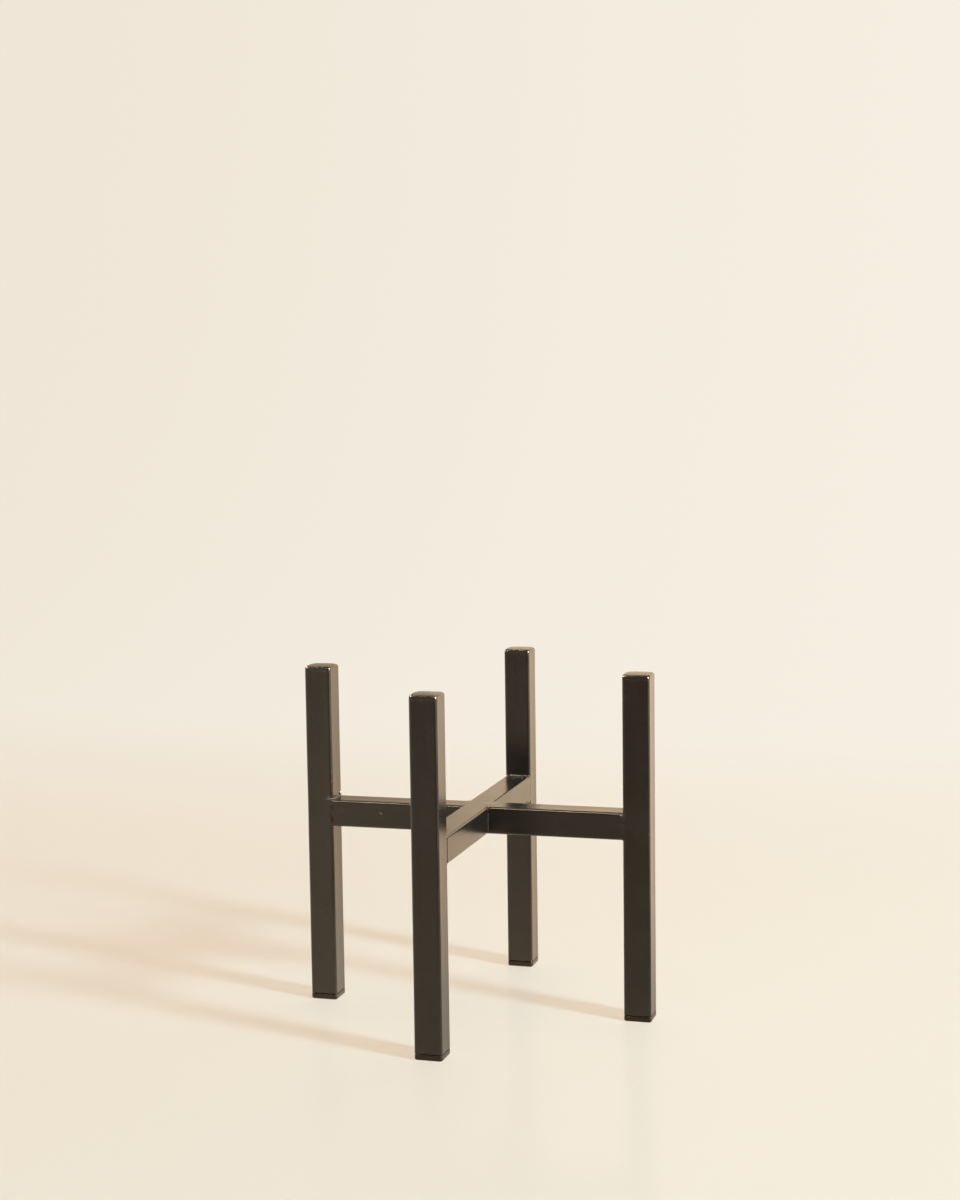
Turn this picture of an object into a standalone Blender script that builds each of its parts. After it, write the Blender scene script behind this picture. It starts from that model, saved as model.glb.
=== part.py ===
"""Plant stand: four upright legs of square steel tube, welded to a level cross of the same tube.

Metres, +Z up. The origin is on the floor under the middle of the cross. The through bar runs
along Y, from the front leg to the back leg. The two stub bars run along X, from its sides to
the left and right legs.
"""

import math

import bmesh
import bpy
from mathutils import Matrix

# The stand
STAND_HEIGHT = 0.2525
LEG_SPACING = 0.240  # between the centre lines of opposite legs
BAR_HEIGHT = 0.1425  # centre line of the cross above the floor

# Square tube of the legs and of the cross
TUBE_WIDTH = 0.020
TUBE_WALL = 0.0012
TUBE_CORNER = 0.0018  # outside radius along the tube's edges
BORE_CORNER = 0.0006  # inside radius along the tube's edges
BEVEL_LAND = 0.0003  # flat left at a bar's tip, inside the bevel that takes the weld

# Cap plate on a leg, with its weld dressed flush and its rim rounded by hand
CAP_THICKNESS = 0.0025
CAP_EDGE = 0.0015
CAP_CROWN = 0.0007
CROWN_RINGS = 5

# Plastic foot: a flange under the tube and a hollow finned stem inside it
FLANGE_THICKNESS = 0.0032
FLANGE_EDGE = 0.0009
STEM_LENGTH = 0.0165
STEM_WALL = 0.0016
STEM_PLAY = 0.0011  # between the stem and the tube's bore
STEM_CORNER = 0.0013
STEM_LEAD = 0.0009  # bevel round the stem's tip
STEM_FLOOR = 0.0014  # left under the stem's hollow, above the flange
FIN_COUNT = 4
FIN_THICKNESS = 0.0014
FIN_SLOPE = 0.0005
FIN_INSET = 0.0030  # from the stem's ends to the first and last fin's middle

# Weld beads
LEG_BEAD = 0.0032  # leg length of the bead above and below a bar, where it meets a leg
CENTRE_BEAD = 0.0022  # leg length of the bead beside a stub bar, at the centre
BEAD_FULLNESS = 1.35  # 1 is a flat bead face, 2 a full round
BEAD_PROUD = 0.00025  # height of the bead above the faces that lie flush, and of its toe
BEAD_TURN = 0.35  # share of a bead's rise by which it turns wider round a bar's edges
BEAD_STEPS = 7

# Clearance between pieces that touch
GAP = 0.0003

# Fineness of round edges
CORNER_STEPS = 5
EDGE_STEPS = 3
SMOOTH_ANGLE = math.radians(28)
BEVEL_SHARE = 0.9  # an end's bevel takes at most this share of the corner radius
CUT_MARGIN = 0.002  # how far a cutter reaches past what it cuts

# Sizes that follow from those above
BORE_WIDTH = TUBE_WIDTH - 2 * TUBE_WALL
BEAD_SEAT = GAP  # depth that a bar's end is melted back, so that the bead's toe lies level
SEAT_WIDTH = TUBE_WIDTH - 2 * BEAD_SEAT
BEVEL = TUBE_WALL - BEVEL_LAND - BEAD_SEAT
LEG_RADIUS = LEG_SPACING / 2
LEG_BOTTOM = FLANGE_THICKNESS + GAP
LEG_TOP = STAND_HEIGHT - CAP_CROWN - CAP_THICKNESS - GAP
STEM_WIDTH = BORE_WIDTH - 2 * STEM_PLAY
FIN_WIDTH = BORE_WIDTH - 2 * GAP

# Each leg's side of the stand, as a turn about Z from +X
SIDES = {"right": 0.0, "back": math.pi / 2, "left": math.pi, "front": -math.pi / 2}


def clear_scene():
    for obj in list(bpy.data.objects):
        bpy.data.objects.remove(obj, do_unlink=True)


def new_collection(name):
    collection = bpy.data.collections.new(name)
    bpy.context.scene.collection.children.link(collection)
    return collection


def make_material(name, colour, roughness, metallic):
    material = bpy.data.materials.new(name)
    material.use_nodes = True
    shader = material.node_tree.nodes["Principled BSDF"]
    shader.inputs["Base Color"].default_value = (*colour, 1.0)
    shader.inputs["Roughness"].default_value = roughness
    shader.inputs["Metallic"].default_value = metallic
    material.diffuse_color = (*colour, 1.0)
    return material


def mesh_object(name, bm, collection):
    bmesh.ops.recalc_face_normals(bm, faces=bm.faces)
    mesh = bpy.data.meshes.new(name)
    bm.to_mesh(mesh)
    bm.free()
    obj = bpy.data.objects.new(name, mesh)
    collection.objects.link(obj)
    return obj


def empty(name, parts, turn=0.0, parent=None):
    obj = bpy.data.objects.new(name, None)
    parts.objects.link(obj)
    obj.rotation_euler = (0, 0, turn)
    obj.parent = parent
    return obj


def place(obj, parent, location, rotation=(0, 0, 0)):
    obj.parent = parent
    obj.location = location
    obj.rotation_euler = rotation


def end_edges(bm, end):
    """The edges round a bar's end face, at its lower end, -1, or its upper end, +1."""
    face = max(bm.faces, key=lambda face: end * face.calc_center_median().z)
    return list(face.edges)


def square_bar(width, bottom, top, corner, bevels=()):
    """A solid bar of rounded square section along Z, with a bevel (end, size, steps) at its ends."""
    bm = bmesh.new()
    bmesh.ops.create_cube(bm, size=1)
    bmesh.ops.scale(bm, vec=(width, width, top - bottom), verts=bm.verts)
    bmesh.ops.translate(bm, vec=(0, 0, (top + bottom) / 2), verts=bm.verts)
    upright = [edge for edge in bm.edges if edge.verts[0].co.xy == edge.verts[1].co.xy]
    bmesh.ops.bevel(
        bm, geom=upright, offset=corner, segments=CORNER_STEPS, profile=0.5, affect="EDGES"
    )
    for end, size, steps in bevels:
        offset = min(size, BEVEL_SHARE * corner)
        bmesh.ops.bevel(
            bm, geom=end_edges(bm, end), offset=offset, segments=steps, profile=0.5, affect="EDGES"
        )
    return bm


def boolean(obj, tool, operation):
    """Joins the tool to the object or cuts it from it, and keeps it as a hidden guide."""
    modifier = obj.modifiers.new(tool.name, "BOOLEAN")
    modifier.object = tool
    modifier.operation = operation
    modifier.solver = "EXACT"
    tool.hide_render = True
    tool.display_type = "WIRE"


def apply_modifiers(obj):
    graph = bpy.context.evaluated_depsgraph_get()
    mesh = bpy.data.meshes.new_from_object(obj.evaluated_get(graph))
    obj.modifiers.clear()
    obj.data = mesh


def finish(obj, material):
    """Gives a piece its material, with its round edges smooth and its corners sharp."""
    apply_modifiers(obj)
    obj.data.materials.clear()
    obj.data.materials.append(material)
    obj.data.shade_smooth()
    obj.data.set_sharp_from_angle(angle=SMOOTH_ANGLE)


def lay_along(obj, axis):
    """Turns a bar that was made along Z to lie along X or Y, in its mesh."""
    if axis != "Z":
        obj.data.transform(Matrix.Rotation(math.pi / 2, 4, "Y" if axis == "X" else "X"))


def cut_bore(obj, bottom, top, axis, cutters):
    """Opens a bar from end to end with the tube's bore."""
    bore = square_bar(BORE_WIDTH, bottom - CUT_MARGIN, top + CUT_MARGIN, BORE_CORNER)
    tool = mesh_object(f"{obj.name}_bore", bore, cutters)
    lay_along(tool, axis)
    boolean(obj, tool, "DIFFERENCE")


def make_leg(name, parts, cutters, steel):
    """A leg: a straight tube, square at both ends, in the height that it stands at."""
    obj = mesh_object(name, square_bar(TUBE_WIDTH, LEG_BOTTOM, LEG_TOP, TUBE_CORNER), parts)
    cut_bore(obj, LEG_BOTTOM, LEG_TOP, "Z", cutters)
    finish(obj, steel)
    return obj


def make_bar(name, joint_to_joint, beads, axis, parts, cutters, steel):
    """A bar of the cross, its middle at the origin, between the joints at its two ends.

    It has its full section between the beads. Under them it is melted back to a seat, and its
    tips have a bevel for the weld.
    """
    tip = joint_to_joint / 2 - GAP
    seat = square_bar(
        SEAT_WIDTH, -tip, tip, TUBE_CORNER - BEAD_SEAT, ((-1, BEVEL, 1), (1, BEVEL, 1))
    )
    obj = mesh_object(name, seat, parts)
    low_bead, high_bead = beads
    full = square_bar(TUBE_WIDTH, low_bead - tip, tip - high_bead, TUBE_CORNER)
    tool = mesh_object(f"{name}_full", full, cutters)
    for solid in (obj, tool):
        lay_along(solid, axis)
    boolean(obj, tool, "UNION")
    cut_bore(obj, -tip, tip, axis, cutters)
    finish(obj, steel)
    return obj


def section(bm, along, half_height, half_width, corner):
    """A rounded rectangle across X, with its height along Z and its width along Y."""
    ring = []
    for quarter, (side_y, side_z) in enumerate(((1, 1), (-1, 1), (-1, -1), (1, -1))):
        for step in range(CORNER_STEPS + 1):
            angle = math.pi / 2 * (quarter + step / CORNER_STEPS)
            y = side_y * (half_width - corner) + corner * math.cos(angle)
            z = side_z * (half_height - corner) + corner * math.sin(angle)
            ring.append(bm.verts.new((along, y, z)))
    return ring


def loft(sections):
    """A closed body through sections (along, half height, half width, corner), in order along X."""
    bm = bmesh.new()
    rings = [section(bm, *values) for values in sections]
    for first, second in zip(rings, rings[1:]):
        for index, vert in enumerate(first):
            following = (index + 1) % len(first)
            bm.faces.new((vert, first[following], second[following], second[index]))
    bm.faces.new(rings[0])
    bm.faces.new(rings[-1])
    return bm


def cap_sections():
    """Up the cap's side, round its rim on a quarter circle, and in over its crown.

    At a share s of the way in from the rim to the middle, the crown has risen by s * (2 - s) of
    its full height.
    """
    half = TUBE_WIDTH / 2
    sections = [(0, half, half, TUBE_CORNER)]
    for step in range(EDGE_STEPS + 1):
        angle = math.pi / 2 * step / EDGE_STEPS
        width = half - CAP_EDGE * (1 - math.cos(angle))
        height = CAP_THICKNESS - CAP_EDGE * (1 - math.sin(angle))
        sections.append((height, width, width, TUBE_CORNER))
    rim = half - CAP_EDGE
    for step in range(1, CROWN_RINGS + 1):
        share = step / (CROWN_RINGS + 1)
        width = rim * (1 - share)
        height = CAP_THICKNESS + CAP_CROWN * share * (2 - share)
        sections.append((height, width, width, min(TUBE_CORNER, width / 2)))
    tip = rim / (CROWN_RINGS + 1) / 2
    sections.append((CAP_THICKNESS + CAP_CROWN, tip, tip, tip / 2))
    return sections


def make_cap(name, parts, steel):
    """The plate that closes a leg: a rounded rim and a low crown."""
    obj = mesh_object(name, loft(cap_sections()), parts)
    upright = Matrix.Rotation(-math.pi / 2, 4, "Y")
    obj.data.transform(Matrix.Translation((0, 0, LEG_TOP + GAP)) @ upright)
    finish(obj, steel)
    return obj


def make_foot(name, parts, cutters, plastic):
    """The moulded foot: a flange as wide as the tube, and a hollow stem with fins that grip its bore."""
    flange = square_bar(
        TUBE_WIDTH, 0, FLANGE_THICKNESS, TUBE_CORNER, ((-1, FLANGE_EDGE, EDGE_STEPS),)
    )
    obj = mesh_object(name, flange, parts)
    tip = FLANGE_THICKNESS + STEM_LENGTH
    stem = square_bar(
        STEM_WIDTH, FLANGE_THICKNESS / 2, tip, STEM_CORNER, ((1, STEM_LEAD, 1),)
    )
    boolean(obj, mesh_object(f"{name}_stem", stem, cutters), "UNION")
    lowest = FLANGE_THICKNESS + FIN_INSET
    pitch = (STEM_LENGTH - 2 * FIN_INSET) / (FIN_COUNT - 1)
    for index in range(FIN_COUNT):
        middle = lowest + index * pitch
        slopes = ((-1, FIN_SLOPE, 1), (1, FIN_SLOPE, 1))
        fin = square_bar(
            FIN_WIDTH, middle - FIN_THICKNESS / 2, middle + FIN_THICKNESS / 2, BORE_CORNER, slopes
        )
        boolean(obj, mesh_object(f"{name}_fin_{index + 1}", fin, cutters), "UNION")
    hollow = square_bar(
        STEM_WIDTH - 2 * STEM_WALL, FLANGE_THICKNESS + STEM_FLOOR, tip + CUT_MARGIN, BORE_CORNER
    )
    boolean(obj, mesh_object(f"{name}_hollow", hollow, cutters), "DIFFERENCE")
    finish(obj, plastic)
    return obj


def bead_sections(size):
    """A weld bead as laid round a bar's end, shrinking away from the joint at X = 0.

    At a distance x from the joint the bead stands h above and below the bar's proud line, where
    (x / size) ** fullness + (h / size) ** fullness is 1. Beside the bar it lies all but flush.
    """
    half = TUBE_WIDTH / 2 + BEAD_PROUD
    corner = TUBE_CORNER + BEAD_PROUD
    profile = [(-TUBE_CORNER, size)]
    for step in range(BEAD_STEPS + 1):
        angle = math.pi / 2 * step / BEAD_STEPS
        along = size * math.sin(angle) ** (2 / BEAD_FULLNESS)
        rise = size * max(math.cos(angle), 0) ** (2 / BEAD_FULLNESS)
        profile.append((along, rise))
    profile.append((size + CUT_MARGIN, 0))
    return [(along, half + rise, half, corner + BEAD_TURN * rise) for along, rise in profile]


def make_bead(name, size, parts, cutters, steel):
    """A weld bead that stops short of the bar it goes round and of the tube it joins.

    The bar's seat and full section and the tube are cut from it, each grown by the clearance. The
    bar lies along +X, and the tube it meets along Z.
    """
    obj = mesh_object(name, loft(bead_sections(size)), parts)
    grown = TUBE_WIDTH + 2 * GAP
    reach = size + 2 * CUT_MARGIN
    bevel = BEVEL + GAP * (2 - math.sqrt(2))  # the grown seat's bevel keeps the clearance
    seat_corner = TUBE_CORNER - BEAD_SEAT + GAP
    seat = square_bar(SEAT_WIDTH + 2 * GAP, 0, reach, seat_corner, ((-1, bevel, 1),))
    full = square_bar(grown, size, reach, TUBE_CORNER + GAP)
    for part, solid in (("seat", seat), ("full", full)):
        tool = mesh_object(f"{name}_{part}", solid, cutters)
        lay_along(tool, "X")
        boolean(obj, tool, "DIFFERENCE")
    half_tube = TUBE_WIDTH / 2 + size + CUT_MARGIN
    tube = mesh_object(
        f"{name}_tube", square_bar(grown, -half_tube, half_tube, TUBE_CORNER + GAP), cutters
    )
    tube.data.transform(Matrix.Translation((-TUBE_WIDTH / 2, 0, 0)))
    boolean(obj, tube, "DIFFERENCE")
    finish(obj, steel)
    return obj


def build_leg_side(side, turn, stand, parts, cutters, steel, plastic):
    """One leg with its cap, its foot and the bead that joins it to the cross."""
    frame = empty(f"{side}_side", parts, turn=turn, parent=stand)
    axis = (LEG_RADIUS, 0, 0)
    place(make_leg(f"leg_{side}", parts, cutters, steel), frame, axis)
    place(make_cap(f"cap_{side}", parts, steel), frame, axis)
    place(make_foot(f"foot_{side}", parts, cutters, plastic), frame, axis)
    bead = make_bead(f"weld_{side}", LEG_BEAD, parts, cutters, steel)
    place(bead, frame, (LEG_RADIUS - TUBE_WIDTH / 2, 0, BAR_HEIGHT), (0, 0, math.pi))


def build_cross(stand, parts, cutters, steel):
    """The through bar, and a stub bar and its bead on each side of it."""
    beads = (LEG_BEAD, LEG_BEAD)
    length = LEG_SPACING - TUBE_WIDTH
    through = make_bar("through_bar", length, beads, "Y", parts, cutters, steel)
    place(through, stand, (0, 0, BAR_HEIGHT))
    length = LEG_RADIUS - TUBE_WIDTH
    beads = (CENTRE_BEAD, LEG_BEAD)
    for side in ("left", "right"):
        frame = empty(f"{side}_stub_side", parts, turn=SIDES[side], parent=stand)
        stub = make_bar(f"stub_bar_{side}", length, beads, "X", parts, cutters, steel)
        place(stub, frame, (LEG_RADIUS / 2, 0, BAR_HEIGHT))
        bead = make_bead(f"weld_centre_{side}", CENTRE_BEAD, parts, cutters, steel)
        place(bead, frame, (TUBE_WIDTH / 2, 0, BAR_HEIGHT), (math.pi / 2, 0, 0))


def main():
    clear_scene()
    parts = new_collection("plant_stand")
    cutters = new_collection("cutters")
    steel = make_material("black_paint_on_steel", (0.022, 0.019, 0.017), 0.28, 0.0)
    plastic = make_material("black_plastic", (0.016, 0.015, 0.014), 0.42, 0.0)
    stand = empty("stand", parts)
    for side, turn in SIDES.items():
        build_leg_side(side, turn, stand, parts, cutters, steel, plastic)
    build_cross(stand, parts, cutters, steel)


main()
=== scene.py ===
import math
from collections import namedtuple

import bpy
import numpy as np
from mathutils import Matrix, Vector


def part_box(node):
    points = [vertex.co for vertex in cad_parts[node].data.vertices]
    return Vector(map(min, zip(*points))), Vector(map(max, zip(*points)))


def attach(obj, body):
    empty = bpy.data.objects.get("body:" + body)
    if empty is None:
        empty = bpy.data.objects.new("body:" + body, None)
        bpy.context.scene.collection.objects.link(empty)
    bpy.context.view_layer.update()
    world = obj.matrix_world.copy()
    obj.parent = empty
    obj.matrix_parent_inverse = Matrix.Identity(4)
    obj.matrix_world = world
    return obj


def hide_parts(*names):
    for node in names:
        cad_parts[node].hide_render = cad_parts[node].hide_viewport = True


# The stand's frame is loaded first, so that every size below can start from it
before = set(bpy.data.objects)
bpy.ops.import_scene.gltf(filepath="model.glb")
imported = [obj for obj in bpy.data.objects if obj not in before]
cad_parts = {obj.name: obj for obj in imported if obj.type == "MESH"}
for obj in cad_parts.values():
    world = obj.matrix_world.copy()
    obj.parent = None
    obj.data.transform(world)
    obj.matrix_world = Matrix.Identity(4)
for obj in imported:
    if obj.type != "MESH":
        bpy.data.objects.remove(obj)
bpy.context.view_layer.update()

bl_info = {
    "name": "Welded plant stand",
    "version": (1, 0, 0),
    "blender": (4, 5, 0),
    "location": "3D View > Sidebar > Plant Stand",
    "description": "Builds the painted tubes, caps, weld beads and feet of a plant stand",
    "category": "Add Mesh",
}

SIDES = ("left", "front", "back", "right")
BODY = "root"


def box(node):
    """The lowest and highest corners of a frame node, as arrays."""
    low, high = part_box(node)
    return np.array(low), np.array(high)


# Places and widths that the frame gives
LEG_LOW, LEG_HIGH = box("leg_left")
CAP_LOW, CAP_HIGH = box("cap_left")
FOOT_LOW, FOOT_HIGH = box("foot_left")
BAR_LOW, BAR_HIGH = box("through_bar")
TUBE_HALF = (LEG_HIGH[0] - LEG_LOW[0]) / 2
LEG_RADIUS = -(LEG_HIGH[0] + LEG_LOW[0]) / 2
BAR_HEIGHT = (BAR_HIGH[2] + BAR_LOW[2]) / 2
SEAM = CAP_LOW[2] - LEG_HIGH[2]  # clearance between the frame's touching pieces
SEAM_RISE = 0.0009  # how much higher than in the frame the photograph shows the seam over a foot
SEAM_EXTRA = 0.00015  # how much wider than the clearance that seam is
LEG_END = LEG_LOW[2] + SEAM_RISE
FLANGE_TOP = LEG_END - SEAM - SEAM_EXTRA

# A turn round a tube's section runs from 0 to 4: a side for each whole number, its flat first
FLAT_SHARE = 0.6
FLAT_STEPS = 20
ARC_STEPS = 8


def length(name, default, description):
    """A size in metres that a user can change."""
    return bpy.props.FloatProperty(
        name=name, description=description, default=default, min=0, precision=5, unit="LENGTH"
    )


def colour(name, default, description):
    """A colour that a user can change."""
    return bpy.props.FloatVectorProperty(
        name=name, description=description, default=default, size=3, min=0, max=1, subtype="COLOR"
    )


def share(name, default, description):
    """A share from 0 to 1 that a user can change."""
    return bpy.props.FloatProperty(
        name=name, description=description, default=default, min=0, max=1, subtype="FACTOR"
    )


class StandSizes(bpy.types.PropertyGroup):
    """Sizes of the stand's surfaces that the frame doesn't give."""

    wall: length("Tube wall", 0.0012, "Thickness of the square tube's wall")
    corner: length("Tube corner", 0.0018, "Outside radius along the tube's edges")
    bore_corner: length("Bore corner", 0.0006, "Inside radius along the tube's edges")
    deburr: length("Deburred edge", 0.00025, "Radius that the file leaves on a cut end")
    hollow: length("Face hollow", 0.00007, "Depth by which the drawn faces lie hollow")
    wander: length("Face wander", 0.000025, "Height of the slow waves along the faces")
    draw: length("Draw lines", 0.000009, "Height of the faint lines along the drawn faces")
    rim: length("Cap rim", 0.0008, "Radius of the dressed rim of a cap")
    rim_corner: length("Cap corner", 0.0011, "How much larger that radius is at the corners")
    rim_wander: share("Rim wander", 0.28, "How far the dressed rim wanders from its radius")
    crown: length("Cap crown", 0.0004, "Height of a cap's crown above its rim")
    cap_lump: length("Cap lumps", 0.00003, "Height of the file's slow marks on a cap")
    bead: length("Bead leg", 0.0032, "Leg length of the beads at the legs")
    centre_bead: length("Centre bead leg", 0.0022, "Leg length of the beads at the centre")
    ripple: length("Bead ripple", 0.00007, "Height of the ripples across a bead")
    ripple_pitch: length("Ripple pitch", 0.0017, "Distance from one ripple to the next")
    flange_edge: length("Foot edge", 0.0009, "Radius round the underside of a foot")
    stem_half: length("Stem half width", 0.0077, "Half the width of the stem inside the leg")
    stem_wall: length("Stem wall", 0.0016, "Thickness of the hollow stem's wall")
    fin_pitch: length("Fin pitch", 0.0035, "Distance from one fin of the stem to the next")


class StandColours(bpy.types.PropertyGroup):
    """Colours and gloss of the stand and of the stage."""

    paint: colour("Paint", (0.0058, 0.0047, 0.0037), "The black paint on the steel")
    thin_paint: colour("Thin paint", (0.0105, 0.0082, 0.0062), "Where the paint lies thin")
    paint_sheen: colour("Paint sheen", (1.0, 0.88, 0.74), "The warm tint of the paint's gloss")
    plastic_sheen: colour("Plastic sheen", (1.0, 0.74, 0.55), "The warm tint of the feet's gloss")
    plastic: colour("Plastic", (0.0042, 0.0028, 0.0020), "The moulded feet")
    paint_roughness: share("Paint roughness", 0.25, "Roughness of the smooth paint")
    plastic_roughness: share("Plastic roughness", 0.30, "Roughness of the moulded feet")
    floor: colour("Floor", (0.90, 0.86, 0.79), "The floor that the stand is shown on")
    floor_glow: colour("Floor glow", (0.965, 0.805, 0.64), "The even part of the floor's colour")
    # The backdrop's two colours paint a falloff of light: shaded darker on the left, lit lighter on the
    # right
    backdrop_left: colour("Backdrop, left", (0.867, 0.792, 0.684), "The backdrop on the left")
    backdrop_right: colour("Backdrop, right", (0.925, 0.878, 0.785), "The backdrop on the right")
    surround: colour("Surround", (1.0, 0.815, 0.61), "The soft light from all sides")
    room: colour("Room", (0.30, 0.23, 0.155), "The room that the paint mirrors")


# Surfaces


def rounded_square(half, corner, turn):
    """A point on a rounded square, and the direction that it faces.

    The flat of a side runs evenly from one corner to the next. The corner after it is a quarter
    circle. Each further whole turn is the same side turned by a right angle.
    """
    side = np.floor(turn)
    part = turn - side
    flat = np.clip(part / FLAT_SHARE, 0, 1)
    arc = np.clip((part - FLAT_SHARE) / (1 - FLAT_SHARE), 0, 1) * math.pi / 2
    reach = half - corner
    across = reach + corner * np.cos(arc)
    along = reach * (2 * flat - 1) + corner * np.sin(arc)
    angle = side * math.pi / 2
    point = (
        across * np.cos(angle) - along * np.sin(angle),
        across * np.sin(angle) + along * np.cos(angle),
    )
    return point, (np.cos(angle + arc), np.sin(angle + arc))


def turns(flat_steps=FLAT_STEPS, arc_steps=ARC_STEPS):
    """The turns of a ring's points: even steps along each flat and round each corner."""
    flat = np.arange(flat_steps) / flat_steps * FLAT_SHARE
    arc = FLAT_SHARE + np.arange(arc_steps) / arc_steps * (1 - FLAT_SHARE)
    side = np.concatenate((flat, arc))
    return (np.arange(4)[:, None] + side).ravel()


def flatness(turn):
    """1 in the middle of a side's flat, falling to 0 at its ends and round the corners."""
    part = np.clip((turn - np.floor(turn)) / FLAT_SHARE, 0, 1)
    return 1 - (2 * part - 1) ** 2


LUMP_WAVES = 7
LUMP_SPREAD = (0.6, 1.4)  # the fewest and the most waves to a pitch


def lumps(x, y, z, pitch, seed):
    """Slow uneven waves: sines in random directions, their sum over the root of their number."""
    rng = np.random.default_rng(seed)
    total = 0
    for _ in range(LUMP_WAVES):
        heading = rng.normal(size=3)
        heading *= 2 * math.pi / pitch / np.linalg.norm(heading) * rng.uniform(*LUMP_SPREAD)
        phase = rng.uniform(0, 2 * math.pi)
        total = total + np.sin(x * heading[0] + y * heading[1] + z * heading[2] + phase)
    return total / math.sqrt(LUMP_WAVES)


def smooth(value, low, high):
    """0 below low, 1 above high, and s * s * (3 - 2 * s) at a share s of the way between."""
    part = np.clip((value - low) / (high - low), 0, 1)
    return part * part * (3 - 2 * part)


def quads(count, rows, cols):
    """The faces between each of a grid's first rings, so many of them, and the ring after it."""
    row, col = np.meshgrid(np.arange(count), np.arange(cols), indexing="ij")
    next_row, next_col = (row + 1) % rows, (col + 1) % cols
    corners = ((row, col), (row, next_col), (next_row, next_col), (next_row, col))
    return np.stack([ring * cols + place for ring, place in corners], -1).reshape(-1, 4)


def closed_grid(points):
    """A surface whose rings and columns both run back to their start."""
    rows, cols = points.shape[:2]
    return points.reshape(-1, 3), [quads(rows, rows, cols)]


def capped_grid(points):
    """A surface of closed rings whose first and last rings each close on their middle."""
    rows, cols = points.shape[:2]
    ring = np.arange(cols)
    following = (ring + 1) % cols
    first = np.stack((np.full(cols, rows * cols), following, ring), -1)
    last_ring = (rows - 1) * cols
    last = np.stack((np.full(cols, rows * cols + 1), last_ring + ring, last_ring + following), -1)
    middles = np.stack((points[0].mean(0), points[-1].mean(0)))
    vertices = np.concatenate((points.reshape(-1, 3), middles))
    return vertices, [quads(rows - 1, rows, cols), np.concatenate((first, last))]


def volume(vertices, faces):
    """The signed volume inside a closed surface: the sum of its faces' pyramids on the origin."""
    total = 0
    for group in faces:
        for corner in range(1, group.shape[1] - 1):
            second, third = vertices[group[:, corner]], vertices[group[:, corner + 1]]
            total += np.einsum("ij,ij->", vertices[group[:, 0]], np.cross(second, third))
    return total / 6


SMOOTH_ANGLE = math.radians(40)


def add_piece(name, surfaces, slot, nodes, colours):
    """Makes one object of closed surfaces, facing outwards, that stands for frame nodes."""
    corners, sizes, points, start = [], [], [], 0
    for vertices, faces in surfaces:
        flip = volume(vertices - vertices.mean(0), faces) < 0
        for group in faces:
            group = group[:, ::-1] if flip else group
            corners.append((group + start).ravel())
            sizes.append(np.full(len(group), group.shape[1]))
        points.append(vertices)
        start += len(vertices)
    points, corners, sizes = (np.concatenate(values) for values in (points, corners, sizes))
    mesh = bpy.data.meshes.new(name)
    mesh.vertices.add(len(points))
    mesh.vertices.foreach_set("co", points.astype(np.float32).ravel())
    mesh.loops.add(len(corners))
    mesh.loops.foreach_set("vertex_index", corners.astype(np.int32))
    mesh.polygons.add(len(sizes))
    mesh.polygons.foreach_set("loop_start", (np.cumsum(sizes) - sizes).astype(np.int32))
    mesh.update(calc_edges=True)
    mesh.materials.append(finish(slot, colours))
    mesh.shade_smooth()
    mesh.set_sharp_from_angle(angle=SMOOTH_ANGLE)
    piece = bpy.data.objects.new(name, mesh)
    bpy.context.scene.collection.objects.link(piece)
    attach(piece, BODY)
    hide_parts(*nodes)


STATION_PITCH = 0.0025
EDGE_STEPS = 4
EDGE_GUARD = 0.0003  # a close row of points that keeps the shading flat up to an edge
WANDER_PITCH = 0.045
DRAW_PITCH = 0.0030
DRAW_STRETCH = 60.0  # how much longer than wide the draw lines are
DRAW_SEED = 5


def wall_loop(low, high, sizes):
    """The long section of a tube's wall, as columns of (along, half width, corner radius, and
    whether it lies on the outer faces).

    It runs up the outside, round the top edge, down the bore and round the bottom edge, back to
    its start. The edges are quarter circles of the deburred radius.
    """
    edge = sizes.deburr
    bore = TUBE_HALF - sizes.wall
    count = max(2, round((high - low) / STATION_PITCH))
    outside = np.linspace(low + edge + EDGE_GUARD, high - edge - EDGE_GUARD, count)
    outside = np.concatenate(([low + edge], outside, [high - edge]))
    quarter = np.linspace(0, math.pi / 2, EDGE_STEPS + 1)[1:]
    rise, inward = edge * np.sin(quarter), edge * (1 - np.cos(quarter))
    along = np.concatenate(
        (outside, high - edge + rise, [high, low], (low + edge - rise)[::-1])
    )
    half = np.concatenate(
        (np.full(count + 2, TUBE_HALF), TUBE_HALF - inward, [bore, bore], (TUBE_HALF - inward)[::-1])
    )
    corner = np.where(half > bore, sizes.corner, sizes.bore_corner)
    return along[:, None], half[:, None], corner[:, None], (half == TUBE_HALF)[:, None]


def face_depth(x, y, z, turn, sizes, seed):
    """How deep a drawn face lies under the plain square: a parabola across each flat, with slow
    waves and faint draw lines along it, and never above that square.
    """
    waves = sizes.wander * (1 - lumps(x, y, z, WANDER_PITCH, seed))
    lines = sizes.draw * (1 - lumps(x, y, z / DRAW_STRETCH, DRAW_PITCH, seed + DRAW_SEED))
    return np.maximum(waves + lines + sizes.hollow * flatness(turn), 0)


def tube(low, high, sizes, seed):
    """A square tube along Z: its wall's section carried round a rounded square.

    Its outer faces lie a little under the plain square.
    """
    along, half, corner, outer = wall_loop(low, high, sizes)
    turn = turns()[None, :]
    (x, y), (face_x, face_y) = rounded_square(half, corner, turn)
    z = np.broadcast_to(along, x.shape)
    depth = np.where(outer, face_depth(x, y, z, turn, sizes, seed), 0)
    return np.stack((x - depth * face_x, y - depth * face_y, z), -1)


def placed(points, origin, x_axis, z_axis):
    """Points of a local frame, given by its origin and two of its axes, in the stand's frame."""
    return points @ np.stack((x_axis, np.cross(z_axis, x_axis), z_axis)) + origin


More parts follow.
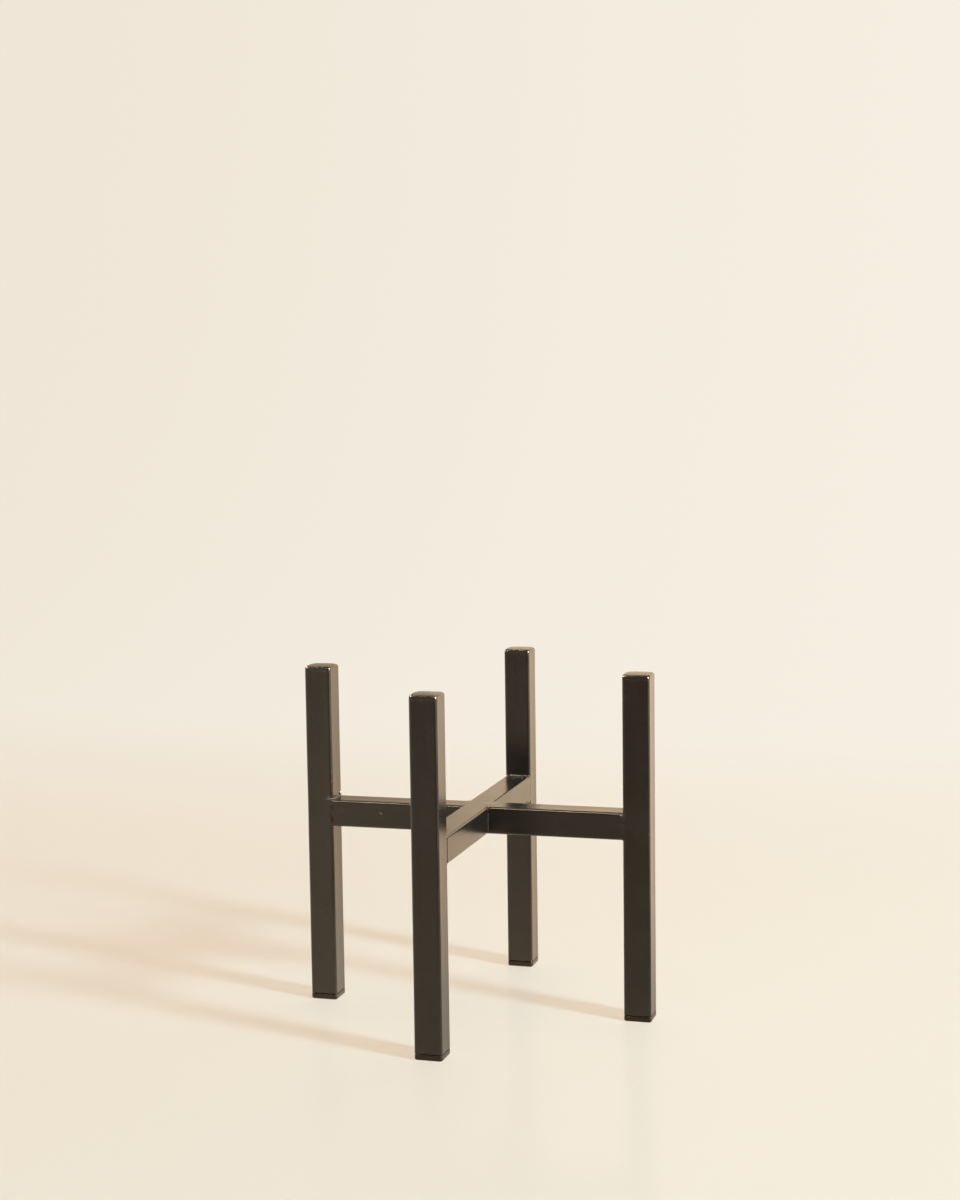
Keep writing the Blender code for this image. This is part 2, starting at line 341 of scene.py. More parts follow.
LEG_PLACES = {
    "left": (-LEG_RADIUS, 0),
    "right": (LEG_RADIUS, 0),
    "front": (0, -LEG_RADIUS),
    "back": (0, LEG_RADIUS),
}
X_AXIS = (1, 0, 0)
Y_AXIS = (0, 1, 0)
UP = (0, 0, 1)

MARK_ROWS = 10
MARK_COLS = 32
MARK_STRETCH = (0.85, 1.2)  # limits of how much taller than wide a mark is
OUTLINE_TWO = 0.12  # how far two waves round a patch's outline reach, as a share of its radius
OUTLINE_THREE = 0.05  # the same for three waves
UNDERSIDE = 0.5  # depth of a patch's underside, as a share of its height
ROUGH_PITCH = 0.0036
ROUGH_SEED = 7


def lens(centre, across, up, reach, height, dip, rng, rows=MARK_ROWS, cols=MARK_COLS, rough=0):
    """A raised patch on a face, closed below.

    With b as 1 - s * s at a share s of its reach, it rises by its height times b * b, less a dip
    in its middle, plus its roughness. A dip of 0 leaves a round blister or drop, and a dip of 1 a
    ring whose middle lies level with the face. Its outline wanders a little from an ellipse. Its
    underside lies half its height deep inside the steel.
    """
    around = np.linspace(0, 2 * math.pi, cols, endpoint=False)
    outward = np.linspace(0, 1, rows + 1)[1:]
    part = np.concatenate((outward, outward[-2::-1]))[:, None]
    under = np.arange(len(part))[:, None] >= rows
    phase = rng.uniform(0, 2 * math.pi)
    wander = 1 + OUTLINE_TWO * np.sin(2 * around + phase) + OUTLINE_THREE * np.sin(3 * around - phase)
    x, y = reach[0] * part * wander * np.cos(around), reach[1] * part * wander * np.sin(around)
    bulge = 1 - part**2
    rise = height * np.where(under, -UNDERSIDE * bulge, (1 + dip) * bulge**2 * (1 - dip * bulge**2))
    rise = rise + np.where(under, 0, rough * bulge * lumps(x, y, 0 * x, ROUGH_PITCH, ROUGH_SEED))
    offset = x[..., None] * across + y[..., None] * up + rise[..., None] * np.cross(across, up)
    return capped_grid(offset + centre)


def marks(rows, origin, across, up, sizes):
    """Small raised marks on a drawn face, sunk as deep as the face lies hollow.

    Each row is (across the face from its middle line, along it, radius, height, dip).
    """
    rng = np.random.default_rng(len(rows))
    across, up = np.array(across, float), np.array(up, float)
    found = []
    for place_across, place_up, radius, height, dip in rows:
        depth = sizes.wander + sizes.draw + sizes.hollow * (1 - (place_across / TUBE_HALF) ** 2)
        centre = origin + place_across * across + place_up * up - depth * np.cross(across, up)
        stretch = rng.uniform(*MARK_STRETCH)
        found.append(lens(centre, across, up, (radius * stretch, radius / stretch), height, dip, rng))
    return found


CAP_STATIONS = 8
RIM_STEPS = 10
RIM_WAVES = range(3, 17)  # waves to the whole rim
CROWN_STEPS = 12
RIM_CORNER = 0.0022  # radius of the rim's corners, seen from above
CORNER_LEAN = 0.0030  # height over which the dressing widens the corners to that radius
CROWN_PITCH = 0.006
CAP_LAP = 0.00002  # how far above the start of the leg's deburred edge a cap starts


def cap(sizes, seed, leg_seed):
    """A dressed cap about the origin of a leg: up its side, round its rim and over its crown.

    Its side starts flush with the leg's faces and ends on the plain square. The rim is a quarter
    circle whose radius wanders along it by a sum of waves and grows towards the corners. The
    crown rises by (1 - a * a) * (1 - b * b) of its height, a and b being the shares of the way
    from the middle to the sides, and the file leaves slow waves of its own.
    """
    turn = turns()[None, :]
    rng = np.random.default_rng(seed)
    wander = 0
    for waves in RIM_WAVES:
        phase = rng.uniform(0, 2 * math.pi)
        wander = wander + np.sin(turn * math.pi / 2 * waves + phase) / math.sqrt(len(RIM_WAVES))
    rim = sizes.rim * (1 + sizes.rim_wander * wander) + sizes.rim_corner * (1 - flatness(turn)) ** 2
    top = CAP_HIGH[2] - sizes.crown - sizes.cap_lump
    low = LEG_HIGH[2] - sizes.deburr + CAP_LAP
    side = low + (top - rim - low) * np.linspace(0, 1, CAP_STATIONS)[:, None]
    angle = np.linspace(0, math.pi / 2, RIM_STEPS + 1)[1:, None]
    rim_half = TUBE_HALF - rim * (1 - np.cos(angle))
    rim_height = top - rim * (1 - np.sin(angle))
    part = np.linspace(0, 1, CROWN_STEPS + 2)[1:-1, None]
    crown_half = (TUBE_HALF - rim) * (1 - part)
    half = np.concatenate((np.full(side.shape, TUBE_HALF), rim_half, crown_half))
    z = np.concatenate((side, rim_height, np.full(crown_half.shape, top)))
    dressed_part = smooth(z, low, low + CORNER_LEAN)
    corner = np.minimum(sizes.corner + (RIM_CORNER - sizes.corner) * dressed_part, half)
    (x, y), (face_x, face_y) = rounded_square(half, corner, turn)
    depth = face_depth(x, y, z, turn, sizes, leg_seed) * (1 - dressed_part)
    x, y = x - depth * face_x, y - depth * face_y
    swell = sizes.crown * (1 - (x / TUBE_HALF) ** 2) * (1 - (y / TUBE_HALF) ** 2)
    lift = swell + sizes.cap_lump * lumps(x, y, 0 * x, CROWN_PITCH, seed)
    return np.stack((x, y, np.minimum(z + smooth(z, low, top) * lift, CAP_HIGH[2])), -1)


FLANGE_EDGE_TOP = 0.00012  # radius along the flange's upper edge
SOLE_SHARES = (0.25, 0.5, 0.75, 0.97)  # rings of the sole, from its middle to its rounded edge
SOLE_EDGE_STEPS = 8
FIN_COUNT = 4
FIN_THICKNESS = 0.0014
FIN_LOWEST = 0.0030  # from the flange to the middle of the lowest fin
FIN_SLOPE = 0.0003
FIN_PLAY = 0.0003  # between a fin and the tube's bore
STEM_FLOOR = 0.0014
STEM_CORNER = 0.0013
CORNER_MOST = 0.9  # the largest corner radius in the foot, as a share of the half width there


def foot_profile(sizes):
    """The foot's section from the middle of its underside to the floor of its hollow.

    Rows of (half width, corner radius, height): the sole, its rounded edge, the flange's side and
    top, the stem with its fins, its tip, and down inside the hollow.
    """
    edge, top = sizes.flange_edge, FLANGE_TOP
    tip = FOOT_HIGH[2]
    fin = TUBE_HALF - sizes.wall - FIN_PLAY
    rows = [(part * (TUBE_HALF - edge), sizes.corner, FOOT_LOW[2]) for part in SOLE_SHARES]
    for angle in np.linspace(0, math.pi / 2, SOLE_EDGE_STEPS + 1):
        inset, rise = edge * (1 - math.sin(angle)), edge * (1 - math.cos(angle))
        rows.append((TUBE_HALF - inset, sizes.corner, FOOT_LOW[2] + rise))
    for angle in np.linspace(0, math.pi / 2, EDGE_STEPS + 1):
        inset, sink = FLANGE_EDGE_TOP * (1 - math.cos(angle)), FLANGE_EDGE_TOP * (1 - math.sin(angle))
        rows.append((TUBE_HALF - inset, sizes.corner, top - sink))
    rows.append((sizes.stem_half, STEM_CORNER, top))
    for index in range(FIN_COUNT):
        middle = top + FIN_LOWEST + index * sizes.fin_pitch
        for half, offset in ((sizes.stem_half, -1), (fin, -1), (fin, 1), (sizes.stem_half, 1)):
            slope = FIN_SLOPE if half == fin else 0
            rows.append((half, STEM_CORNER, middle + offset * (FIN_THICKNESS / 2 - slope)))
    inside, floor = sizes.stem_half - sizes.stem_wall, top + STEM_FLOOR
    rows += (
        (sizes.stem_half, STEM_CORNER, tip - edge),
        (sizes.stem_half - edge / 2, STEM_CORNER, tip),
        (inside, sizes.bore_corner, tip),
        (inside, sizes.bore_corner, floor),
        (inside / 2, sizes.bore_corner, floor),
    )
    return np.array(rows)


def foot(sizes):
    """A moulded foot about the origin of a leg: its section carried round a rounded square."""
    half, corner, height = (column[:, None] for column in foot_profile(sizes).T)
    (x, y), _ = rounded_square(half, np.minimum(corner, half * CORNER_MOST), turns()[None, :])
    return np.stack((x, y, np.broadcast_to(height, x.shape)), -1)


# Weld beads

BEAD_FLAT_STEPS = 36
BEAD_ARC_STEPS = 16
BEAD_ROWS = 26
ROOT_ROWS = 6
ROOT_DEPTH = 0.0008  # how deep a bead's hidden root lies in the steel
TOE_SINK = 0.00006  # how far a bead's toes dive under the paint beside it
TOE_POWER = 6  # how late they do: power of the share of the way out to them
FLUSH_FILLET = 0.00012  # fillet along the sides, where bar and tube lie flush
FLUSH_REACH = 1.25  # how far a bead's flush sides reach, in corner radii
FILLET_START = 0.15  # how far upwards the bar's surface faces where the flush sides end
FILLET_FULL = 0.85  # and where the fillet is full
LEG_WANDER = 0.12  # how far a bead's leg length wanders, as a share of it
LEG_WANDER_PITCH = 0.007
HOLLOW_START = 0.5  # the bar's hollow comes in, across the bead, from minus this to this
RIPPLE_BOW = 0.5  # how far a ripple's ends lag behind its middle, in ripples
SIDE_RIPPLE = 0.3  # share of the ripples that shows on the flush sides
BLOB_WIDTH = 0.6  # spread of a blob across the bead
BEAD_ROUGH_PITCH = 0.0035
ROOT_WIDTH = 0.9  # width of the hidden root, as a share of the bead's
SOLVE_REACH = 2  # how far either way a bead's points are sought, in leg lengths
SOLVE_STEPS = 26

# Each joint's weld: its leg lengths over and under the bar and its crown as shares of the bead's
# leg length, the heights of its flush sides and of its roughness in metres, and its share of the
# ripples. A blob is (turn, across from the tube's toe at -1 to the bar's toe at 1, height, spread
# in turns), and a height below 0 is a dimple.
Weld = namedtuple("Weld", ("top", "bottom", "crown", "side", "rough", "ripple", "blobs"))
JOINTS = {
    "left": Weld(0.3, 0.35, 0.03, 0.00005, 0.00007, 0.3, (
        (1.80, 0.0, 0.0003, 0.05), (1.93, 0.3, 0.0003, 0.04), (2.12, 0.5, -0.0004, 0.05),
        (2.41, 0.5, -0.0005, 0.08), (2.30, -0.4, -0.0003, 0.04),
    )),
    "right": Weld(0.35, 0.35, 0.03, 0.00004, 0.00003, 0.2, (
        (0.76, -0.1, -0.0012, 0.10), (0.58, 0.2, 0.0008, 0.03), (0.45, 0.0, -0.0001, 0.05),
    )),
    "front": Weld(0.5, 0.45, 0.06, -0.00050, 0.00014, 0.5, (
        (1.86, 0.1, -0.0010, 0.05), (2.10, 0.1, -0.0003, 0.06), (2.30, -0.1, -0.0001, 0.10),
    )),
    "back": Weld(0.35, 0.4, 0.03, 0.00005, 0.00003, 0.3, ()),
    "centre_left": Weld(0.3, 0.3, 0.0, 0.00005, 0.00002, 0.1, ()),
    "centre_right": Weld(0.3, 0.3, 0.0, 0.00005, 0.00002, 0.1, (
        (2.92, 0.2, -0.0004, 0.05), (3.08, 0.0, -0.0003, 0.05),
    )),
}
# Drops of weld beside the beads, each as (middle, the axes across it and up it, its reach along
# both, height)
DROPS = {
    "left": (((-0.1099, 0.0064, 0.1544), (0.8, 0.6, 0), (0, 0, 1), (0.0009, 0.0014), 0.0005),),
    "back": (((0.0099, 0.1030, 0.1337), (0, 1, 0), (0, 0, 1), (0.0062, 0.0015), 0.0010),),
    "centre_right": (((0.0104, -0.0092, 0.1516), (1, 0, 0), (0, 0.6, 0.8), (0.0009, 0.0009), 0.0009),),
}


def drops(joint, seed):
    """A joint's drops of weld."""
    rng = np.random.default_rng(seed)
    return [lens(*place, reach, height, 0, rng) for *place, reach, height in DROPS.get(joint, ())]


def square_distance(a, b, half, corner):
    """How far a point lies outside a rounded square, and below 0 inside it.

    It is the distance to the square on the middles of the corners, less the corners' radius.
    """
    past_a, past_b = np.abs(a) - (half - corner), np.abs(b) - (half - corner)
    outside = np.hypot(np.maximum(past_a, 0), np.maximum(past_b, 0))
    return outside + np.minimum(np.maximum(past_a, past_b), 0) - corner


def joint_distance(x, y, z, corner, fillet):
    """How far a point lies outside a bar along +X and the tube along Z that it butts against.

    The bar is carried on under the tube's rounded corner, which it fills. The two distances are
    blended where they differ by less than the fillet's leg length.
    """
    tube_away = square_distance(x + TUBE_HALF, y, TUBE_HALF, corner)
    section = square_distance(y, z, TUBE_HALF, corner)
    past_end = -x - corner
    bar_away = np.hypot(np.maximum(section, 0), np.maximum(past_end, 0))
    bar_away += np.minimum(np.maximum(section, past_end), 0)
    near = np.clip(1 - np.abs(tube_away - bar_away) / fillet, 0, 1)
    return np.minimum(tube_away, bar_away) - near * near * fillet / 4


def bead(size, weld, sizes, seed):
    """A weld bead round a bar's end, where the bar runs along +X from a tube along Z.

    Each point is sought outwards from the joint line until it lies the bead's height above the
    blended bar and tube. Beside the bar, where both lie flush, the bead fills the tube's corner.
    The height is a crown across the bead, with ripples along it and blobs, and goes below zero at
    both toes. The hidden root closes the bead inside the steel.
    """
    turn = turns(BEAD_FLAT_STEPS, BEAD_ARC_STEPS)[None, :]
    across = np.linspace(-1, 1, BEAD_ROWS)[:, None]
    (y, z), (face_y, face_z) = rounded_square(TUBE_HALF, sizes.corner, turn)
    fillet_part = smooth(np.abs(face_z), FILLET_START, FILLET_FULL)
    leg = size * np.where(face_z > 0, weld.top, weld.bottom)
    leg = leg * (1 + LEG_WANDER * lumps(0 * y, y, z, LEG_WANDER_PITCH, seed))
    lean = math.pi / 4 * fillet_part
    flush_part = 1 - fillet_part
    reach = flush_part * (sizes.corner * FLUSH_REACH) + fillet_part * leg * math.sqrt(0.5)
    middle = -flush_part * sizes.corner / 2

    distance_along = turn * TUBE_HALF * 2
    phase = 2 * math.pi * (distance_along / sizes.ripple_pitch - RIPPLE_BOW * across**2)
    crown = weld.side * flush_part + weld.crown * leg * fillet_part
    inner = 1 - across**2
    height = crown * inner**2 - TOE_SINK * across**TOE_POWER - sizes.wander
    height = height - sizes.hollow * flatness(turn) * smooth(across, -HOLLOW_START, HOLLOW_START)
    ripple = sizes.ripple * weld.ripple
    ripple = ripple * (SIDE_RIPPLE + (1 - SIDE_RIPPLE) * fillet_part)
    height = height + ripple * inner * np.cos(phase)
    for blob_turn, blob_across, blob_height, spread in weld.blobs:
        away = (np.abs(turn - blob_turn) / spread) ** 2 + ((across - blob_across) / BLOB_WIDTH) ** 2
        height = height + blob_height * np.exp(-away) * inner

    def point(out):
        """Places in the bead's local frame, out from its joint line."""
        run = across * reach
        x = middle + run * np.cos(lean) + out * np.sin(lean)
        rise = -run * np.sin(lean) + out * np.cos(lean)
        return x, y + rise * face_y, z + rise * face_z

    low = np.full(np.broadcast_shapes(turn.shape, across.shape), -SOLVE_REACH * size)
    high = -low
    fillet = FLUSH_FILLET + fillet_part * leg
    for _ in range(SOLVE_STEPS):
        half_way = (low + high) / 2
        x, py, pz = point(half_way)
        rough = weld.rough * inner * lumps(x, py, pz, BEAD_ROUGH_PITCH, seed + 1)
        inside = joint_distance(x, py, pz, sizes.corner, fillet) < height + rough
        low, high = np.where(inside, half_way, low), np.where(inside, high, half_way)
    shown = np.stack(np.broadcast_arrays(*point(high)), -1)

    run = np.linspace(ROOT_WIDTH, -ROOT_WIDTH, ROOT_ROWS)[:, None] * reach
    x = middle + run * np.cos(lean) - ROOT_DEPTH * np.sin(lean)
    rise = -run * np.sin(lean) - ROOT_DEPTH * np.cos(lean)
    root = np.stack(np.broadcast_arrays(x, y + rise * face_y, z + rise * face_z), -1)
    return np.concatenate((shown, root))


# Shader sums

# Sockets of a Mix node for colours, by number, as others there have the same names
MIX_FIRST = 6
MIX_SECOND = 7
MIX_RESULT = 2


class Value:
    """A shader socket that takes part in Python sums: each sum adds its Math node."""

    def __init__(self, shader, socket):
        self.shader = shader
        self.socket = socket

    def sum(self, operation, *values):
        """Adds a Math node with its values."""
        return self.shader.node("Math", {"operation": operation}, dict(enumerate(values)))

    def __add__(self, other):
        return self.sum("ADD", self, other)

    def __sub__(self, other):
        return self.sum("SUBTRACT", self, other)

    def __rsub__(self, other):
        return self.sum("SUBTRACT", other, self)

    def __mul__(self, other):
        return self.sum("MULTIPLY", self, other)

    __radd__ = __add__
    __rmul__ = __mul__


class Shader:
    """The node tree of a material, light or world, and the one way that nodes are added to it."""

    def __init__(self, owner):
        owner.use_nodes = True
        self.tree = owner.node_tree
        self.tree.nodes.clear()

    def node(self, kind, settings=None, sockets=None, output=0):
        """Adds a node, makes its settings, then sets or links its sockets."""
        node = self.tree.nodes.new(f"ShaderNode{kind}")
        for name, value in (settings or {}).items():
            setattr(node, name, value)
        for name, value in (sockets or {}).items():
            socket = node.inputs[name]
            if isinstance(value, Value):
                self.tree.links.new(value.socket, socket)
            elif socket.type == "RGBA":
                socket.default_value = (*value, 1.0)
            else:
                socket.default_value = value
        return Value(self, node.outputs[output]) if node.outputs else None

    def noise(self, scale, detail, rough):
        """Noise over the object's own coordinates, from 0 to 1. The scale is per metre."""
        sockets = {"Vector": self.place(), "Scale": scale, "Detail": detail, "Roughness": rough}
        return self.node("TexNoise", {"noise_dimensions": "3D"}, sockets)

    def place(self):
        """The object's own coordinates."""
        return self.node("TexCoord", output="Object")

    def step(self, value, low, high):
        """A smooth step of a value from 0 at low to 1 at high."""
        settings = {"interpolation_type": "SMOOTHSTEP"}
        sockets = {"Value": value, "From Min": low, "From Max": high}
        return self.node("MapRange", settings, sockets)

    def mix(self, factor, first, second, kind="MIX"):
        """A colour mixed from two."""
        settings = {"data_type": "RGBA", "blend_type": kind}
        sockets = {"Factor": factor, MIX_FIRST: first, MIX_SECOND: second}
        return self.node("Mix", settings, sockets, MIX_RESULT)

    def tinted(self, first, second):
        """The product of two colours."""
        return self.mix(1.0, first, second, "MULTIPLY")

    def blend(self, factor, first, second):
        """A surface mixed from two."""
        return self.node("MixShader", None, {0: factor, 1: first, 2: second})

    def ray(self, kind):
        """1 for one kind of light ray and 0 for the others."""
        return self.node("LightPath", output=f"Is {kind} Ray")

    def limited(self, value, low, high):
        """A value held between two limits."""
        return self.node("Clamp", None, {"Value": value, "Min": low, "Max": high})

    def bump(self, height, distance, normal=None):
        """A bumped normal: a height from 0 to 1 over a distance in metres."""
        sockets = {"Strength": 1.0, "Distance": distance, "Height": height}
        if normal:
            sockets["Normal"] = normal
        return self.node("Bump", None, sockets)


def finished(shader, surface, kind="Material"):
    """Ends a tree in its output node."""
    shader.node(f"Output{kind}", None, {"Surface": surface})


# Noises of the finishes, each as (scale per metre, detail, roughness)
RAGGED_NOISE = (420.0, 3.0, 0.5)
THIN_NOISE = (55.0, 4.0, 0.6)
PEEL_NOISE = (650.0, 1.5, 0.5)
WAVE_NOISE = (120.0, 1.0, 0.5)
NIB_NOISE = (60.0, 1.0, 0.5)
GRIT_NOISE = (2300.0, 2.0, 0.6)
PATCH_NOISE = (38.0, 3.0, 0.55)
GRAIN_NOISE = (2600.0, 2.0, 0.6)
FLOW_NOISE = (90.0, 3.0, 0.5)
BACKDROP_NOISE = (3.0, 2.0, 0.5)

# The paint
DRESS_HEIGHT = 0.007  # how far below a leg's top the dressing shows
DRESS_FULL = 0.2  # share of that height over which it is full
DRESS_RAGGED = 0.006  # how far its edge wanders up and down
THIN_RANGE = (0.35, 0.75)  # noise between which the paint goes from full to thin
WAVE_SHARE = 2.5  # height of the paint's slow waves against its orange peel
NIB_SCALE = 190.0  # places for dust nibs to a metre
NIB_CHOICE = (0.60, 0.68)  # noise between which a place goes from no nib to a nib
NIB_EDGE = (0.03, 0.13)  # from a nib's top to its foot, as shares of a place
NIB_HEIGHT = 0.00005
GRIT_SHARE = 0.12  # grit on paint over steel that wasn't ground, where ground steel adds 1
PATCH_SHEEN = 0.10  # what dull patches, ground steel and nibs add to the roughness
GROUND_SHEEN = 0.03
NIB_SHEEN = 0.15
PAINT_IOR = 1.52
PAINT_HEIGHTS = (0.0000045, 0.000006)  # of the orange peel and of the grit
WELD_HEIGHTS = (0.000006, 0.000009)
WELD_DULLNESS = 0.02  # how much rougher the paint over the beads is

# The plastic
PLASTIC_IOR = 1.47
GRAIN_HEIGHT = 0.000006
FLOW_TONE = 0.8  # the darkest flow marks, against the plastic's colour
FLOW_SHEEN = 0.14


def dressed(shader):
    """1 where steel was ground before painting: the tops of the legs."""
    z = shader.node("SeparateXYZ", None, {"Vector": shader.place()}, output="Z")
    ragged = (shader.noise(*RAGGED_NOISE) - 0.5) * DRESS_RAGGED
    low, high = (CAP_HIGH[2] - part * DRESS_HEIGHT for part in (1, DRESS_FULL))
    return shader.step(z + ragged, low, high)


def paint(name, colours, dullness, heights):
    """Black paint: orange peel, slow waves, dust nibs, and a duller skin over ground steel."""
    peel_height, grit_height = heights
    material = bpy.data.materials.new(name)
    shader = Shader(material)
    ground = dressed(shader)
    thin = shader.step(shader.noise(*THIN_NOISE), *THIN_RANGE)
    tint = shader.mix(thin, colours.paint, colours.thin_paint)
    peel = shader.noise(*PEEL_NOISE)
    wave = shader.noise(*WAVE_NOISE)
    sockets = {"Vector": shader.place(), "Scale": NIB_SCALE}
    nib = shader.node("TexVoronoi", None, sockets, output="Distance")
    chosen = shader.step(shader.noise(*NIB_NOISE), *NIB_CHOICE)
    nibs = (1 - shader.step(nib, *NIB_EDGE)) * chosen
    grit = shader.noise(*GRIT_NOISE)
    normal = shader.bump(peel + WAVE_SHARE * wave, peel_height)
    normal = shader.bump(nibs, NIB_HEIGHT, normal)
    normal = shader.bump(grit * (GRIT_SHARE + ground), grit_height, normal)
    patch = shader.noise(*PATCH_NOISE) - 0.5
    sheen = colours.paint_roughness + dullness + PATCH_SHEEN * patch
    sheen = sheen + GROUND_SHEEN * ground + NIB_SHEEN * nibs
    surface = shader.node("BsdfPrincipled", None, {
        "Base Color": tint, "Roughness": sheen, "Normal": normal, "IOR": PAINT_IOR,
        "Specular Tint": colours.paint_sheen,
    })
    finished(shader, surface)
    return material


def plastic(name, colours):
    """Black plastic: a fine grain and faint flow marks."""
    material = bpy.data.materials.new(name)
    shader = Shader(material)
    grain = shader.bump(shader.noise(*GRAIN_NOISE), GRAIN_HEIGHT)
    flow = shader.noise(*FLOW_NOISE)
    dark = [FLOW_TONE * part for part in colours.plastic]
    tone = shader.mix(flow, dark, colours.plastic)
    sheen = colours.plastic_roughness + FLOW_SHEEN * (flow - 0.5)
    surface = shader.node("BsdfPrincipled", None, {
        "Base Color": tone, "Roughness": sheen, "Normal": grain, "IOR": PLASTIC_IOR,
        "Specular Tint": colours.plastic_sheen,
    })
    finished(shader, surface)
    return material


# Each slot's material, the function that makes it, and that function's own values
FINISHES = {
    "painted_steel": ("black_paint", paint, 0, PAINT_HEIGHTS),
    "painted_weld": ("black_paint_on_weld", paint, WELD_DULLNESS, WELD_HEIGHTS),
    "foot_plastic": ("black_plastic", plastic),
}


def finish(slot, colours):
    """A slot's material, made at its first use."""
    name, make, *values = FINISHES[slot]
    return bpy.data.materials.get(name) or make(name, colours, *values)


# Operators, one for each group of like pieces

# Each group's first random seed, from which its pieces count on. The legs start at 0.
CAP_SEED = 11
BAR_SEED = 21
BEAD_SEED = 31
CENTRE_SEED = 41
PATCH_SEED = 51

# Marks on the front faces of the left and right legs, measured from each leg's middle line
LEG_MARKS = {
    "left": (
        (0.0070, 0.1529, 0.0009, 0.00050, 0.0), (0.0087, 0.1533, 0.0008, 0.00060, 0.0),
        (0.0078, 0.1545, 0.0007, 0.00030, 0.0), (0.0022, 0.0822, 0.0010, 0.00035, 0.7),
        (0.0036, 0.0716, 0.0010, 0.00035, 0.7), (-0.0042, 0.0321, 0.0012, 0.00040, 0.7),
        (-0.0011, 0.0262, 0.0012, 0.00045, 0.7), (0.0020, 0.0210, 0.0010, 0.00035, 0.7),
        (0.0050, 0.0112, 0.0008, 0.00030, 0.5), (-0.0056, 0.0066, 0.0007, 0.00035, 0.0),
        (-0.0008, 0.0450, 0.0006, 0.00012, 0.6), (0.0031, 0.0562, 0.0005, 0.00012, 1.0),
        (-0.0032, 0.0625, 0.0006, 0.00010, 0.5), (0.0047, 0.0372, 0.0005, 0.00012, 0.0),
        (0.0011, 0.0967, 0.0005, 0.00010, 0.8), (-0.0049, 0.1090, 0.0005, 0.00008, 0.0),
    ),
    "right": (
        (-0.0060, 0.1472, 0.0007, 0.00014, 0.0), (-0.0036, 0.1455, 0.0006, 0.00010, 0.0),
        (-0.0018, 0.1432, 0.0006, 0.00008, 0.0),
    ),
}
# Marks on the front faces of the stub bars, measured from the bars' middle line and, to the left,
# from the middle of the stand
STUB_MARKS = {
    "stub_bar_left": (
        (0.0010, 0.0729, 0.0016, 0.00085, 0.3), (0.0042, 0.1018, 0.0011, 0.00035, 0.6),
        (0.0083, 0.0954, 0.0009, 0.00020, 0.0), (0.0087, 0.0980, 0.0006, 0.00016, 0.0),
        (-0.0050, 0.0885, 0.0006, 0.00012, 0.0),
    ),
    "stub_bar_right": (
        (0.0077, -0.1083, 0.0010, 0.00055, 0.0), (0.0046, -0.1070, 0.0009, 0.00008, 0.0),
        (0.0030, -0.1088, 0.0008, 0.00008, 0.0), (0.0022, -0.1060, 0.0007, 0.00006, 0.0),
    ),
}


def chosen(context):
    """The sizes and colours that the user has chosen."""
    return context.scene.stand_sizes, context.scene.stand_colours


class PLANTSTAND_OT_legs(bpy.types.Operator):
    """Adds the four painted legs"""

    bl_idname = "plant_stand.legs"
    bl_label = "Legs"

    def execute(self, context):
        sizes, colours = chosen(context)
        for seed, side in enumerate(SIDES):
            origin = (*LEG_PLACES[side], 0)
            points = placed(tube(LEG_END, LEG_HIGH[2], sizes, seed), origin, X_AXIS, UP)
            surfaces = [closed_grid(points)]
            if side in LEG_MARKS:
                face = np.array((origin[0], origin[1] - TUBE_HALF, 0))
                surfaces += marks(LEG_MARKS[side], face, X_AXIS, UP, sizes)
            add_piece(f"painted_leg_{side}", surfaces, "painted_steel", [f"leg_{side}"], colours)
        return {"FINISHED"}


class PLANTSTAND_OT_caps(bpy.types.Operator):
    """Adds the dressed caps that close the legs"""

    bl_idname = "plant_stand.caps"
    bl_label = "Caps"

    def execute(self, context):
        sizes, colours = chosen(context)
        for seed, side in enumerate(SIDES):
            points = placed(cap(sizes, seed + CAP_SEED, seed), (*LEG_PLACES[side], 0), X_AXIS, UP)
            surfaces = [capped_grid(points)]
            add_piece(f"dressed_cap_{side}", surfaces, "painted_steel", [f"cap_{side}"], colours)
        return {"FINISHED"}


class PLANTSTAND_OT_feet(bpy.types.Operator):
    """Adds the moulded feet under the legs"""

    bl_idname = "plant_stand.feet"
    bl_label = "Feet"

    def execute(self, context):
        sizes, colours = chosen(context)
        for side in SIDES:
            points = placed(foot(sizes), (*LEG_PLACES[side], 0), X_AXIS, UP)
            surfaces = [capped_grid(points)]
            add_piece(f"moulded_foot_{side}", surfaces, "foot_plastic", [f"foot_{side}"], colours)
        return {"FINISHED"}


BAR_REACH = 0.0002  # how far a bar's end reaches past the frame's bar, into its bead
# Where the welds on top of the cross were ground, each as (middle, reach, height, roughness)
GROUND_PATCHES = (
    ((-0.0095, 0.0010), (0.0052, 0.0095), 0.00016, 0.000012),
    ((0.0092, 0.0015), (0.0066, 0.0098), 0.00022, 0.000016),
)
PATCH_SINK = 0.00011  # how far a ground patch starts under the plain top of the bars
PATCH_ROWS = 24
PATCH_COLS = 72


def ground_patches():
    """The ground welds on top of the cross, as low uneven patches."""
    rng = np.random.default_rng(PATCH_SEED)
    level = BAR_HIGH[2] - PATCH_SINK
    return [
        lens((*middle, level), X_AXIS, Y_AXIS, reach, height, 0, rng, PATCH_ROWS, PATCH_COLS, rough)
        for middle, reach, height, rough in GROUND_PATCHES
    ]


